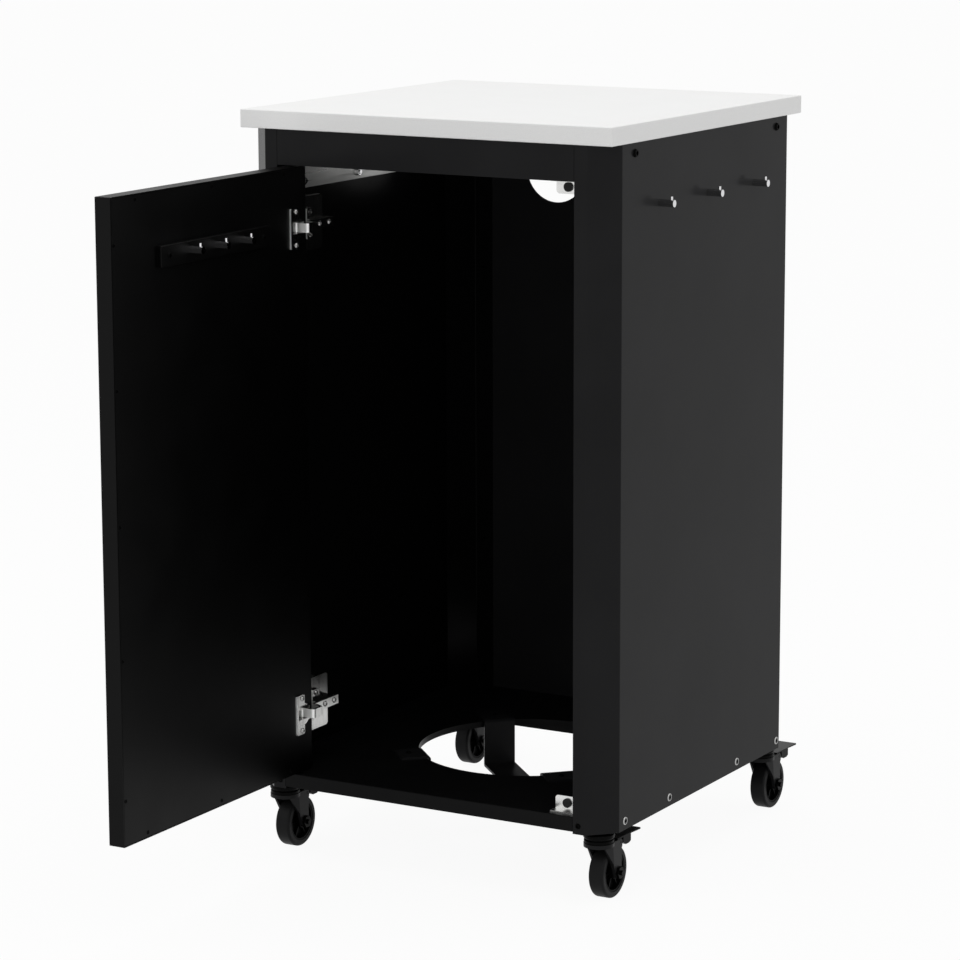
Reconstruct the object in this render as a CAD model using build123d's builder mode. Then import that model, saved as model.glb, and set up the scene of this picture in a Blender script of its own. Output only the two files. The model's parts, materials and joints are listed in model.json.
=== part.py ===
from build123d import *
import os
from math import cos, radians, sin, sqrt, tan

os.makedirs("parts", exist_ok=True)

# Driving dimensions, in millimetres. The origin is on the floor under the cabinet's centre,
# +X to the right, +Y to the back, +Z up. The door is modelled open at 90 degrees.

# Cabinet
overall_height = 902
cabinet_width = 484
cabinet_depth = 490
sheet = 1.5
bend_radius = 3
corner_leg = 29
strip_width = 16
rear_flange = 25
jamb_setback = 5.5
jamb_depth = 67
skirt_drop = 2
seam = 0.5
fit_gap = 0.3

# Worktop
worktop_thickness = 21.5
worktop_side_overhang = 4
worktop_end_overhang = 2.5
worktop_edge_radius = 1.2

# Front rail, floor and back
rail_height = 41.5
rail_flange = 27
channel_height = 16.5
lip_gap = 0.5
lip_bend = 1.4
flange_gap = 1
bottle_hole_radius = 134
hole_collar = 7.5
back_sheet = 1.2
hose_hole_radius = 42.8
hose_hole_x = -94
hose_hole_below_top = 85.5

# Bearer rails under the worktop
bearer_end_gap = 40
bearer_height = 82.5
bearer_flange = 28

# Castor channels under the floor
channel_sheet = 2
channel_hole_margin = 7
channel_edge_gap = 8
channel_end_gap = 4.5
channel_corner_gap = 3

# Bottle cradle
strap_width = 40
strap_thickness = 3
cradle_drop = 61
strap_flange = 34
strap_bend = 3.4
strap_top_bend = 1.5

# Door
hinge_gap = 2.8
free_gap = 2.7
door_bottom_gap = 2.9
door_top_gap = 2.5
door_thickness = 20.6
door_sheet = 1.2
door_flange = 14
door_edge_radius = 0.8
door_seam = 0.5
open_gap = 0.4

# Cup hinges
pin_from_end = 12.8
hinge_from_bottom = 70.7
hinge_from_top = 71.6
pin_radius = 2
press_gap = 0.02
running_gap = 0.05
cup_start = 8.8
cup_end = 31.7
cup_depth = 10.6
cup_half_height = 6.3
cup_cheek = 2
cup_wall = 1.5
cup_plate_start = 18.7
cup_plate_end = 34.9
cup_plate_half_height = 24.2
cup_plate_thickness = 2.2
cup_plate_radius = 2
cup_rim_radius = 13
cup_rim_from_end = 20.4
cup_screw_from_end = 23.6
cup_screw_half_spacing = 19.8
cutout_gap = 0.4
arm_thickness = 4
arm_half_height = 5.5
arm_eye_radius = 3.5
arm_reach = 16.5
arm_bend_radius = 2.2
arm_turn = 3
arm_settle = 11
arm_tail = 3
arm_stand = 9.8
packer_thickness = 8
hinge_plate_thickness = 3
hinge_plate_height = 65
hinge_plate_length = 56
hinge_plate_gap = 4
hinge_plate_radius = 4
hump_insets = (13, 55)
hump_half_height = 6
wing_insets = (16.5, 31.5)
wing_half_height = 18.5
wing_thickness = 4
wing_radius = 3
plate_screw_inset = 24
plate_screw_half_spacing = 13.4
arm_screw_insets = (29.5, 50)

# Hooks
hook_length = 19.2
door_hook_length = 15.7
hook_radius = 4.2
hook_pin_radius = 1.75
hook_pin_from_tip = 4
hook_pin_height = 8
hook_stud_radius = 2.5
hook_stud_length = 8
hook_nut_radius = 4.6
hook_nut_thickness = 3.5
side_hook_spacing = 123.8
side_hook_below_top = 74
door_hook_spacing = 51
hook_strip_length = 220
hook_strip_height = 24
hook_strip_thickness = 6.5
hook_strip_below_top = 73.5
hook_above_strip_middle = 2
hook_strip_screw_inset = 15.6
hook_strip_radius = 2
hook_strip_edge = 0.8

# Catches
catch_sheet = 1.5
catch_width = 38
catch_jamb_gap = 2.5
catch_height = 16.6
catch_face_gap = 0.4
catch_foot = 14
catch_corner = 4
magnet_radius = 5.5
magnet_thickness = 2
magnet_inset = 15.6
magnet_from_seat = 8.5

# Door handle
handle_from_free_end = 61.5
handle_below_top = 234.5
handle_length = 160
handle_foot_spacing = 128
handle_projection = 20
handle_bar = 8
handle_edge = 2

# Screws
screw_radius = 2.5
screw_length = 9
screw_hole_gap = 0.1
button_head_radius = 5
button_head_height = 2.8
small_screw_radius = 1.6
small_screw_length = 7
small_head_radius = 3.4
small_head_height = 1.8
socket_share = 0.5
socket_depth_share = 0.8
silver_screw_inset = 41
silver_screw_inner_y = 91
silver_screw_below_floor = 9.4
silver_screw_shift = 3.5
flat_head_radius = 4.8
flat_head_height = 0.8
flat_socket_radius = 1.9
flat_socket_depth = 2.6
black_screw_inset = 60.3
black_screw_below_top = 12.2
strip_screw_inset = 9
strip_screw_below_floor = 10
back_screw_inset = 12.5
back_screw_edge = 40
back_screw_rows = 5
worktop_screw_spacing = 150
worktop_screw_length = 14
cradle_screw_inset = 14
door_screw_side_inset = 5
door_screw_end_inset = 6.4
door_screw_row_inset = 52.8
door_screw_row_spacing = 151.3
door_screw_column_inset = 46.2
hinge_screw_length = 19
door_screw_head_radius = 2.4
door_screw_head_height = 0.5

# Castors
wheel_radius = 31.1
wheel_width = 19.4
castor_headroom = 25.8
castor_inset_x = 26
castor_inset_y = 29
castor_trail = 22
tyre_thickness = 7
tyre_edge_radius = 3
core_recess_rim = 2.7
core_recess_depth = 6
core_step = 0.5
core_ribs = 6
core_rib_width = 1.6
core_rib_overlap = 0.6
core_rib_step = 2.5
hub_radius = 8
axle_radius = 3
axle_head_radius = 7.6
axle_head_height = 3.5
axle_end = 2.5
leg_gap = 10.6
fork_half_width = 14.5
fork_front_u = -8
fork_knee = (9.5, 44)
fork_ankle = (11, 39.5)
fork_rear_u = 29.6
fork_rear_top = 59
fork_bevel_top_u = 8
fork_bevel_depth = 2.5
boss_radius = 7.2
lug_radius = 4
lug_depth = 5
lug_clearance = 0.4
pedal_pin_offset = 5
pedal_pin_drop = 21.5
pedal_pin_radius = 2
race_radius = 18.4
race_top_drop = 4.6
race_height = 6
race_edge = 2
race_neck_radius = 16
race_neck_height = 1
race_gap = 0.4
lower_race_radius = 17.6
lower_race_height = 4.2
lower_race_edge = 1
crown_radius = 18
crown_thickness = 4.6
castor_boss_radius = 13
stem_radius = 5
stem_length = 12
kingpin_radius = 5
kingpin_head_radius = 8
kingpin_head_height = 3
nut_height = 8
nut_radius = 9.2
pedal_half_width = 14.5
pedal_root_half_width = 10.2
pedal_front_gap = 1.2
pedal_tip = 50.5
pedal_tip_drop = 1.2
pedal_thickness = 1.8
pedal_tip_radius = 1.2
pedal_body_start = 6.6
pedal_shoe = 13
pedal_shoe_drop = 5.9
pedal_body_front_drop = 2.5
pedal_body_end = 25.5
pedal_body_bevel = (4.2, 1.7)
pedal_eye_radius = 3.9

# Derived places
half_width = cabinet_width / 2
half_depth = cabinet_depth / 2
front_y = -half_depth
body_top = overall_height - worktop_thickness
castor_height = 2 * wheel_radius + castor_headroom
skirt_bottom = castor_height - skirt_drop
floor_under = castor_height + channel_height
floor_top = floor_under + sheet
opening_half = half_width - corner_leg - strip_width
rail_bottom = body_top - rail_height
inner_side = half_width - sheet
jamb_face = opening_half + jamb_setback
corner_sum = half_width + half_depth - corner_leg
castor_x = half_width - castor_inset_x
castor_y = half_depth - castor_inset_y

pin_from_face = pin_from_end + hinge_gap - open_gap
pin_x = -opening_half + hinge_gap + pin_from_end
pin_y = front_y + pin_from_face
door_outer_x = pin_x - pin_from_face
door_end_y = pin_y + pin_from_end
door_width = 2 * opening_half - hinge_gap - free_gap
door_bottom = floor_top + door_bottom_gap
door_top = rail_bottom - door_top_gap
closed_inner_y = front_y + door_thickness
hinge_heights = {"bottom": door_bottom + hinge_from_bottom, "top": door_top - hinge_from_top}
plate_face_x = -jamb_face + packer_thickness + hinge_plate_thickness
plate_front_y = door_end_y + hinge_plate_gap
plate_rear_y = plate_front_y + hinge_plate_length

screw_hole = screw_radius + screw_hole_gap
small_hole = small_screw_radius + screw_hole_gap
stud_hole = hook_stud_radius + screw_hole_gap
silver_outer_y = half_depth - silver_screw_inset
silver_half_y = (-silver_outer_y, -silver_screw_inner_y, silver_screw_inner_y, silver_outer_y)
silver_screw_y = [y + silver_screw_shift for y in silver_half_y]
silver_screw_z = floor_top - silver_screw_below_floor
black_screw_y = (-half_depth + black_screw_inset, half_depth - black_screw_inset)
black_screw_z = body_top - black_screw_below_top
side_hook_y = (-side_hook_spacing, 0, side_hook_spacing)
side_hook_z = body_top - side_hook_below_top
strip_screw_x = half_width - corner_leg - strip_screw_inset
strip_screw_z = floor_top - strip_screw_below_floor

DOWN = (Align.CENTER, Align.CENTER, Align.MAX)
UP = (Align.CENTER, Align.CENTER, Align.MIN)
RIGHT = (1, 0, 0)
LEFT = (-1, 0, 0)
FRONT = (0, -1, 0)
BACK = (0, 1, 0)
SKY = (0, 0, 1)
GROUND = (0, 0, -1)
SIDES = (("left", -1, LEFT), ("right", 1, RIGHT))


def save(builder, name):
    """Labels a finished piece and writes it to its own file."""
    builder.part.label = name
    export_step(builder.part, f"parts/{name}.step")


def block(x_span, y_span, z_span, mode=Mode.ADD):
    """A box between the given limits, which may come in either order."""
    spans = [sorted(span) for span in (x_span, y_span, z_span)]
    middle = [(low + high) / 2 for low, high in spans]
    size = [high - low for low, high in spans]
    with Locations(tuple(middle)):
        Box(*size, mode=mode)


def door_block(s_span, t_span, z_span, mode=Mode.ADD):
    """A box on the open door: s from its hinge end, t from its outer face."""
    x_span = [door_outer_x + t for t in t_span]
    y_span = [door_end_y - s for s in s_span]
    block(x_span, y_span, z_span, mode)


def door_point(s, t, z):
    """A point on the open door: s from its hinge end, t from its outer face."""
    return (door_outer_x + t, door_end_y - s, z)


def facing(direction, points):
    """Planes at the given points that look along one direction."""
    return [Plane(origin=point, z_dir=direction) for point in points]


def drill(direction, points, radius, depth):
    """Round holes that start at the given points and go against the direction."""
    with Locations(*facing(direction, points)):
        Cylinder(radius, depth, align=DOWN, mode=Mode.SUBTRACT)


def screws(direction, points, length, radius, head_radius, head_height):
    """Screws whose heads sit on the given points, with a round socket in each head."""
    planes = facing(direction, points)
    with Locations(*planes):
        Cylinder(radius, length, align=DOWN)
        Cone(head_radius, head_radius * (1 - socket_share / 2), head_height, align=UP)
    with Locations(*[plane.offset(head_height) for plane in planes]):
        socket_depth = head_height * socket_depth_share
        Cylinder(head_radius * socket_share, socket_depth, align=DOWN, mode=Mode.SUBTRACT)


def flat_screws(direction, points, length):
    """Low-head screws with a deep round socket that reaches into the shank."""
    planes = facing(direction, points)
    with Locations(*planes):
        Cylinder(screw_radius, length, align=DOWN)
        Cone(flat_head_radius, flat_head_radius - flat_head_height / 2, flat_head_height, align=UP)
    with Locations(*[plane.offset(flat_head_height) for plane in planes]):
        Cylinder(flat_socket_radius, flat_socket_depth, align=DOWN, mode=Mode.SUBTRACT)


def small_screws(direction, points, length=small_screw_length):
    """The small pan-head screws used all over the unit."""
    screws(direction, points, length, small_screw_radius, small_head_radius, small_head_height)


def nuts(direction, points, radius, hole_radius, height):
    """Hexagon nuts that sit on the given points."""
    for plane in facing(direction, points):
        with BuildSketch(plane) as outline:
            RegularPolygon(radius, 6)
            Circle(hole_radius, mode=Mode.SUBTRACT)
        extrude(outline.sketch, amount=height)


def hooks(direction, points, length=hook_length):
    """Round pegs with an upright pin, on a stud that passes through what carries them."""
    for plane in facing(direction, points):
        pin_foot = plane.offset(length - hook_pin_from_tip).origin
        with Locations(plane):
            Cylinder(hook_stud_radius, hook_stud_length, align=DOWN)
            Cylinder(hook_radius, length, align=UP)
        with Locations(Plane(origin=pin_foot)):
            Cylinder(hook_pin_radius, hook_pin_height, align=UP)


def wall_points(x, y_values, z):
    """Points on a side wall at one height."""
    return [(x, y, z) for y in y_values]


worktop_screw_x = inner_side - sheet - bearer_flange / 2
worktop_screw_y = (-worktop_screw_spacing, 0, worktop_screw_spacing)
worktop_screw_points = [(side * worktop_screw_x, y, body_top) for side in (-1, 1) for y in worktop_screw_y]

back_screw_x = half_width - corner_leg - back_screw_inset
back_screw_step = (body_top - skirt_bottom - 2 * back_screw_edge) / (back_screw_rows - 1)
back_screw_z = [skirt_bottom + back_screw_edge + back_screw_step * row for row in range(back_screw_rows)]

wing_face_x = plate_face_x + wing_thickness
hinge_screw_points = [
    (wing_face_x, plate_front_y + plate_screw_inset, z + way * plate_screw_half_spacing)
    for z in hinge_heights.values()
    for way in (-1, 1)
]
hump_face_x = plate_face_x + arm_stand
arm_face_x = hump_face_x + arm_thickness
arm_screw_points = [
    (arm_face_x, plate_front_y + inset, z) for z in hinge_heights.values() for inset in arm_screw_insets
]

hole_reach = sqrt(bottle_hole_radius**2 - (strap_width / 2) ** 2)
cradle_leg_radius = hole_reach - strap_top_bend - fit_gap
strap_end = cradle_leg_radius + strap_flange
cradle_turns = (45, 135, 225, 315)
cradle_screw_radius = strap_end - cradle_screw_inset
cradle_flange_top = floor_top + strap_thickness
cradle_screw_points = [
    (cradle_screw_radius * cos(radians(turn)), cradle_screw_radius * sin(radians(turn)), cradle_flange_top)
    for turn in cradle_turns
]
cradle_bottom = floor_top - cradle_drop
cradle_bolt_point = (0, 0, cradle_bottom + 2 * strap_thickness)

castor_points = {
    f"castor_{end}_{hand}": (side * castor_x, way * castor_y)
    for end, way in (("front", -1), ("rear", 1))
    for hand, side in (("left", -1), ("right", 1))
}

# Worktop: a plain slab with softened edges and blind holes for its screws
with BuildPart() as worktop:
    block(
        (-half_width - worktop_side_overhang, half_width + worktop_side_overhang),
        (-half_depth - worktop_end_overhang, half_depth + worktop_end_overhang),
        (body_top, overall_height),
    )
    fillet(worktop.edges(), worktop_edge_radius)
    drill(GROUND, worktop_screw_points, small_hole, worktop_screw_length)
save(worktop, "worktop")

# Side panels: one bent sheet each, with the front strip hemmed and turned back as the door jamb
for hand, side, direction in SIDES:
    with BuildPart() as side_panel:
        with BuildSketch(Plane.XY.offset(skirt_bottom)):
            with BuildLine():
                FilletPolyline(
                    (half_width - corner_leg - rear_flange, half_depth),
                    (half_width - corner_leg, half_depth),
                    (half_width, half_depth - corner_leg),
                    (half_width, -half_depth + corner_leg),
                    (half_width - corner_leg, -half_depth),
                    (opening_half, -half_depth),
                    radius=bend_radius,
                )
                offset(amount=sheet, side=Side.RIGHT)
            make_face()
        extrude(amount=body_top - skirt_bottom)
        jamb_z = (floor_top + seam, rail_bottom - seam)
        block((opening_half, jamb_face + sheet), (front_y + sheet, front_y + 2 * sheet), jamb_z)
        block((jamb_face, jamb_face + sheet), (front_y + sheet, front_y + jamb_depth), jamb_z)
        if side < 0:
            mirror(about=Plane.YZ, mode=Mode.REPLACE)
            jamb_points = [(-jamb_face, y, z) for x, y, z in hinge_screw_points]
            drill(RIGHT, jamb_points, small_hole, 2 * sheet)
        outer_x = side * half_width
        drill(direction, wall_points(outer_x, silver_screw_y, silver_screw_z), screw_hole, 2 * sheet)
        drill(direction, wall_points(outer_x, black_screw_y, black_screw_z), screw_hole, 2 * sheet)
        drill(direction, wall_points(outer_x, side_hook_y, side_hook_z), stud_hole, 2 * sheet)
        drill(FRONT, [(side * strip_screw_x, front_y, strip_screw_z)], small_hole, 2 * sheet)
        drill(BACK, [(side * back_screw_x, half_depth, z) for z in back_screw_z], small_hole, 2 * sheet)
    save(side_panel, f"side_panel_{hand}")

# Back panel: a flat sheet screwed to the rear flanges, with the round hose hole
with BuildPart() as back_panel:
    back_half = half_width - corner_leg - bend_radius / 2
    back_face = half_depth + back_sheet
    block((-back_half, back_half), (half_depth, back_face), (skirt_bottom, body_top))
    back_screw_points = [(side * back_screw_x, back_face, z) for side in (-1, 1) for z in back_screw_z]
    drill(BACK, back_screw_points, small_hole, 2 * back_sheet)
    hose_hole_point = (hose_hole_x, back_face, body_top - hose_hole_below_top)
    drill(BACK, [hose_hole_point], hose_hole_radius, 2 * back_sheet)
save(back_panel, "back_panel")

# Floor panel: front lip between the strips, tabs behind them, side and rear flanges, bottle hole
floor_half = inner_side - fit_gap
floor_sum = corner_sum - (sheet + fit_gap) * sqrt(2)
tab_y = front_y + sheet + fit_gap
tab_end = half_width - corner_leg - sheet
lip_half = opening_half - seam
lip_bottom = castor_height + lip_gap
with BuildPart() as floor_panel:
    rear_y = half_depth - sheet - fit_gap
    rear_half = half_width - corner_leg - rear_flange - seam
    corner_y = floor_sum - floor_half
    flange_z = (castor_height + flange_gap, floor_top)
    with BuildSketch(Plane.XY.offset(floor_under)):
        with BuildLine():
            Polyline(
                (-floor_sum - tab_y, tab_y),
                (floor_sum + tab_y, tab_y),
                (floor_half, -corner_y),
                (floor_half, corner_y),
                (floor_sum - rear_y, rear_y),
                (rear_y - floor_sum, rear_y),
                (-floor_half, corner_y),
                (-floor_half, -corner_y),
                close=True,
            )
        make_face()
        Circle(bottle_hole_radius, mode=Mode.SUBTRACT)
    extrude(amount=sheet)
    block((-lip_half, lip_half), (front_y, tab_y + sheet), (floor_under, floor_top))
    block((-lip_half, lip_half), (front_y, front_y + sheet), (lip_bottom, floor_top))
    lip_edge = floor_panel.edges().filter_by(Axis.X).group_by(Axis.Y)[0].sort_by(Axis.Z)[-1]
    fillet(lip_edge, lip_bend)
    block((-rear_half, rear_half), (rear_y - sheet, half_depth), (floor_under, floor_top))
    block((-rear_half, rear_half), (half_depth - sheet, half_depth), flange_z)
    for hand, side, direction in SIDES:
        block((side * lip_half, side * tab_end), (tab_y, tab_y + sheet), (lip_bottom, floor_top))
        block((side * floor_half, side * (floor_half - sheet)), (-corner_y, corner_y), flange_z)
        silver_points = wall_points(side * half_width, silver_screw_y, silver_screw_z)
        drill(direction, silver_points, screw_hole, 4 * sheet)
        drill(FRONT, [(side * strip_screw_x, front_y, strip_screw_z)], small_hole, 4 * sheet)
    drill(SKY, [(x, y, floor_top) for x, y, z in cradle_screw_points], small_hole, 2 * sheet)
save(floor_panel, "floor_panel")

# Collar under the rim of the bottle hole
with BuildPart() as hole_rim:
    with BuildSketch(Plane.XY.offset(floor_top - hole_collar)):
        Circle(bottle_hole_radius + sheet)
        Circle(bottle_hole_radius, mode=Mode.SUBTRACT)
    extrude(amount=hole_collar - sheet)
save(hole_rim, "bottle_hole_collar")

# Front top rail: a C-section between the strips with tabs behind them
with BuildPart() as front_top_rail:
    rail_z = (rail_bottom, body_top)
    block((-lip_half, lip_half), (front_y, front_y + sheet), rail_z)
    for low in (rail_bottom, body_top - sheet):
        block((-lip_half, lip_half), (front_y, front_y + rail_flange), (low, low + sheet))
    for side in (-1, 1):
        root_x = side * (lip_half - strip_width)
        block((root_x, side * tab_end), (tab_y, tab_y + sheet), rail_z)
        block((root_x, side * lip_half), (front_y + sheet, tab_y + sheet), rail_z)
save(front_top_rail, "front_top_rail")

# Bearer rails: angles on the side walls that carry the worktop and back up the side hooks
for hand, side, direction in SIDES:
    with BuildPart() as bearer_rail:
        bearer_y = (-half_depth + bearer_end_gap, half_depth - bearer_end_gap)
        web_x = side * (inner_side - sheet)
        block((side * inner_side, web_x), bearer_y, (body_top - bearer_height, body_top))
        block((side * inner_side, web_x - side * bearer_flange), bearer_y, (body_top - sheet, body_top))
        outer_x = side * half_width
        drill(direction, wall_points(outer_x, black_screw_y, black_screw_z), screw_hole, 4 * sheet)
        drill(direction, wall_points(outer_x, side_hook_y, side_hook_z), stud_hole, 4 * sheet)
        drill(SKY, [point for point in worktop_screw_points if point[0] * side > 0], small_hole, 2 * sheet)
    save(bearer_rail, f"bearer_rail_{hand}")

# Castor channels: a plate and two upright bars across the underside of the floor, front and rear
channel_inner_y = bottle_hole_radius + channel_hole_margin
channel_outer_y = half_depth - channel_edge_gap
channel_half = inner_side - channel_end_gap
channel_sum = corner_sum - sheet * sqrt(2) - channel_corner_gap
channel_outer_half = channel_sum - channel_outer_y
plate_top = castor_height + channel_sheet
channel_bars = ((channel_inner_y, channel_half, 1), (channel_outer_y, channel_outer_half, -1))
for end, way in (("front", -1), ("rear", 1)):
    with BuildPart() as castor_plate:
        with BuildSketch(Plane.XY.offset(castor_height)):
            with BuildLine():
                Polyline(
                    (-channel_half, way * channel_inner_y),
                    (channel_half, way * channel_inner_y),
                    (channel_half, way * (channel_sum - channel_half)),
                    (channel_outer_half, way * channel_outer_y),
                    (-channel_outer_half, way * channel_outer_y),
                    (-channel_half, way * (channel_sum - channel_half)),
                    close=True,
                )
            make_face()
        extrude(amount=channel_sheet)
        stem_points = [(side * castor_x, way * castor_y, plate_top) for side in (-1, 1)]
        drill(SKY, stem_points, stem_radius + screw_hole_gap, 2 * channel_sheet)
    save(castor_plate, f"castor_plate_{end}")

    with BuildPart() as castor_bars:
        for y, half, inward in channel_bars:
            block((-half, half), (way * y, way * (y + inward * channel_sheet)), (plate_top, floor_under))
    save(castor_bars, f"castor_bars_{end}")

# Bottle cradle: two U straps crossed on the diagonals, hung from the floor by their flanges
for level, name in enumerate(("lower", "upper")):
    turn = radians(cradle_turns[level])
    foot_z = cradle_bottom + level * strap_thickness
    with BuildPart() as cradle_strap:
        upright = Plane(origin=(0, 0, 0), x_dir=(cos(turn), sin(turn), 0), z_dir=(sin(turn), -cos(turn), 0))
        with BuildSketch(upright):
            with BuildLine():
                FilletPolyline(
                    (-strap_end, floor_top),
                    (-cradle_leg_radius, floor_top),
                    (-cradle_leg_radius, foot_z),
                    (cradle_leg_radius, foot_z),
                    (cradle_leg_radius, floor_top),
                    (strap_end, floor_top),
                    radius=(strap_top_bend, strap_bend, strap_bend, strap_top_bend),
                )
                offset(amount=strap_thickness, side=Side.LEFT)
            make_face()
        extrude(amount=strap_width / 2, both=True)
        drill(SKY, cradle_screw_points + [cradle_bolt_point], small_hole, 3 * strap_thickness)
    save(cradle_strap, f"cradle_strap_{name}")

# Magnetic catches: an angle on the floor and one under the rail, each with a disc magnet
catch_right = jamb_face - catch_jamb_gap
catch_left = catch_right - catch_width
magnet_face_y = closed_inner_y + catch_face_gap
catch_y = magnet_face_y + magnet_thickness
for name, seat, way in (("bottom", floor_top, 1), ("top", rail_bottom, -1)):
    with BuildPart() as catch_bracket:
        catch_x = (catch_left, catch_right)
        block(catch_x, (catch_y, catch_y + catch_sheet), (seat, seat + way * catch_height))
        free_corner = catch_bracket.edges().filter_by(Axis.Y).group_by(Axis.X)[0].sort_by(Axis.Z)
        fillet(free_corner[-1 if way > 0 else 0], catch_corner)
        block(catch_x, (catch_y - catch_foot, catch_y + catch_sheet), (seat, seat + way * catch_sheet))
    save(catch_bracket, f"catch_bracket_{name}")

with BuildPart() as catch_magnets:
    magnet_x = catch_left + magnet_inset
    magnet_z = (floor_top + magnet_from_seat, rail_bottom - magnet_from_seat)
    with Locations(*facing(FRONT, [(magnet_x, catch_y, z) for z in magnet_z])):
        Cylinder(magnet_radius, magnet_thickness, align=UP)
save(catch_magnets, "catch_magnets")

# Side hooks: three pegs on each side wall, held by nuts behind the bearer rails
for hand, side, direction in SIDES:
    with BuildPart() as side_hooks:
        hooks(direction, wall_points(side * half_width, side_hook_y, side_hook_z))
        nut_points = wall_points(side * (inner_side - sheet), side_hook_y, side_hook_z)
        inward = RIGHT if side < 0 else LEFT
        nuts(inward, nut_points, hook_nut_radius, hook_stud_radius + press_gap, hook_nut_thickness)
    save(side_hooks, f"side_hooks_{hand}")

# Screws on the side walls: black button heads into the bearers, silver low heads into the floor
with BuildPart() as black_screws:
    for hand, side, direction in SIDES:
        points = wall_points(side * half_width, black_screw_y, black_screw_z)
        screws(direction, points, screw_length, screw_radius, button_head_radius, button_head_height)
save(black_screws, "side_screws_black")

with BuildPart() as silver_screws:
    for hand, side, direction in SIDES:
        points = wall_points(side * half_width, silver_screw_y, silver_screw_z)
        flat_screws(direction, points, screw_length)
save(silver_screws, "side_screws_silver")

# Other cabinet fasteners: strip, back, worktop and cradle screws, and the castor stem nuts
with BuildPart() as cabinet_fasteners:
    small_screws(FRONT, [(side * strip_screw_x, front_y, strip_screw_z) for side in (-1, 1)])
    small_screws(BACK, back_screw_points)
    head_points = [(x, y, z - sheet) for x, y, z in worktop_screw_points]
    small_screws(GROUND, head_points, worktop_screw_length)
    small_screws(SKY, cradle_screw_points + [cradle_bolt_point])
    castor_nut_points = [(x, y, plate_top) for x, y in castor_points.values()]
    nuts(SKY, castor_nut_points, nut_radius, stem_radius + press_gap, nut_height)
save(cabinet_fasteners, "cabinet_fasteners")

# Hinge packers and plates on the left jamb: each plate has two wings and a hump for the arm
packer_face_x = -jamb_face + packer_thickness
with BuildPart() as hinge_packers:
    for z in hinge_heights.values():
        plate_z = (z - hinge_plate_height / 2, z + hinge_plate_height / 2)
        block((-jamb_face, packer_face_x), (plate_front_y, front_y + jamb_depth), plate_z)
    packer_points = [(packer_face_x, y, z) for x, y, z in hinge_screw_points]
    drill(RIGHT, packer_points, small_hole, 2 * packer_thickness)
save(hinge_packers, "hinge_packers")

for name, z in hinge_heights.items():
    with BuildPart() as hinge_plate:
        wing_y = [plate_front_y + inset for inset in wing_insets]
        hump_y = [plate_front_y + inset for inset in hump_insets]
        plate_z = (z - hinge_plate_height / 2, z + hinge_plate_height / 2)
        block((plate_face_x, wing_face_x), wing_y, (z - wing_half_height, z + wing_half_height))
        fillet(hinge_plate.edges().filter_by(Axis.X), wing_radius)
        block((packer_face_x, plate_face_x), (plate_front_y, plate_rear_y), plate_z)
        plate_corners = hinge_plate.edges().filter_by(Axis.X).group_by(Axis.X)[0]
        fillet(plate_corners, hinge_plate_radius)
        block((plate_face_x, hump_face_x), hump_y, (z - hump_half_height, z + hump_half_height))
        drill(RIGHT, hinge_screw_points, small_hole, 2 * (wing_thickness + hinge_plate_thickness))
        drill(RIGHT, arm_screw_points, small_hole, small_screw_length)
    save(hinge_plate, f"hinge_plate_{name}")

# Hinge arms: flat goosenecks from the plate, round the door's end, to the pin inside the cup
for name, z in hinge_heights.items():
    with BuildPart() as hinge_arm:
        with BuildSketch(Plane.XY.offset(z)):
            with BuildLine() as route:
                arm_middle_x = hump_face_x + arm_thickness / 2
                FilletPolyline(
                    (pin_x, pin_y),
                    (pin_x + arm_reach, pin_y),
                    (pin_x + arm_reach, door_end_y + arm_turn),
                    (arm_middle_x, door_end_y + arm_settle),
                    (arm_middle_x, plate_rear_y + arm_tail),
                    radius=arm_bend_radius,
                )
            trace(route.line, line_width=arm_thickness)
            with Locations((pin_x, pin_y)):
                Circle(arm_eye_radius)
                Circle(pin_radius + running_gap, mode=Mode.SUBTRACT)
        extrude(amount=arm_half_height, both=True)
        drill(RIGHT, arm_screw_points, small_hole, 2 * arm_thickness)
    save(hinge_arm, f"hinge_arm_{name}")

with BuildPart() as hinge_screws:
    small_screws(RIGHT, hinge_screw_points, hinge_screw_length)
    small_screws(RIGHT, arm_screw_points)
save(hinge_screws, "hinge_screws")

# Door fixings that its sheets are drilled for
door_length = door_top - door_bottom
door_middle_z = (door_top + door_bottom) / 2
outer_row = door_length / 2 - door_screw_row_inset
row_offsets = (-outer_row, -door_screw_row_spacing, 0, door_screw_row_spacing, outer_row)
door_rows = [door_middle_z + offset for offset in row_offsets]
door_columns = (door_screw_column_inset, door_width / 2, door_width - door_screw_column_inset)
cup_clearance = cup_plate_half_height + small_head_radius
clear_of_cups = [z for z in door_rows if all(abs(z - h) > cup_clearance for h in hinge_heights.values())]
door_screw_points = [door_point(door_width - door_screw_side_inset, door_thickness, z) for z in door_rows]
door_screw_points += [door_point(door_screw_side_inset, door_thickness, z) for z in clear_of_cups]
door_screw_points += [
    door_point(s, door_thickness, z)
    for s in door_columns
    for z in (door_bottom + door_screw_end_inset, door_top - door_screw_end_inset)
]
cup_face_t = door_thickness + cup_plate_thickness
cup_screw_points = [
    door_point(cup_screw_from_end, cup_face_t, z + way * cup_screw_half_spacing)
    for z in hinge_heights.values()
    for way in (-1, 1)
]
strip_middle_z = door_top - hook_strip_below_top
strip_face_t = door_thickness + hook_strip_thickness
strip_screw_reach = hook_strip_length / 2 - hook_strip_screw_inset
strip_screw_length = hook_strip_thickness + 4 * door_sheet
strip_screw_points = [
    door_point(door_width / 2 + way * strip_screw_reach, strip_face_t, strip_middle_z) for way in (-1, 1)
]
door_hook_z = strip_middle_z + hook_above_strip_middle
door_hook_points = [
    door_point(door_width / 2 + way * door_hook_spacing, strip_face_t, door_hook_z) for way in (-1, 0, 1)
]
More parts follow.
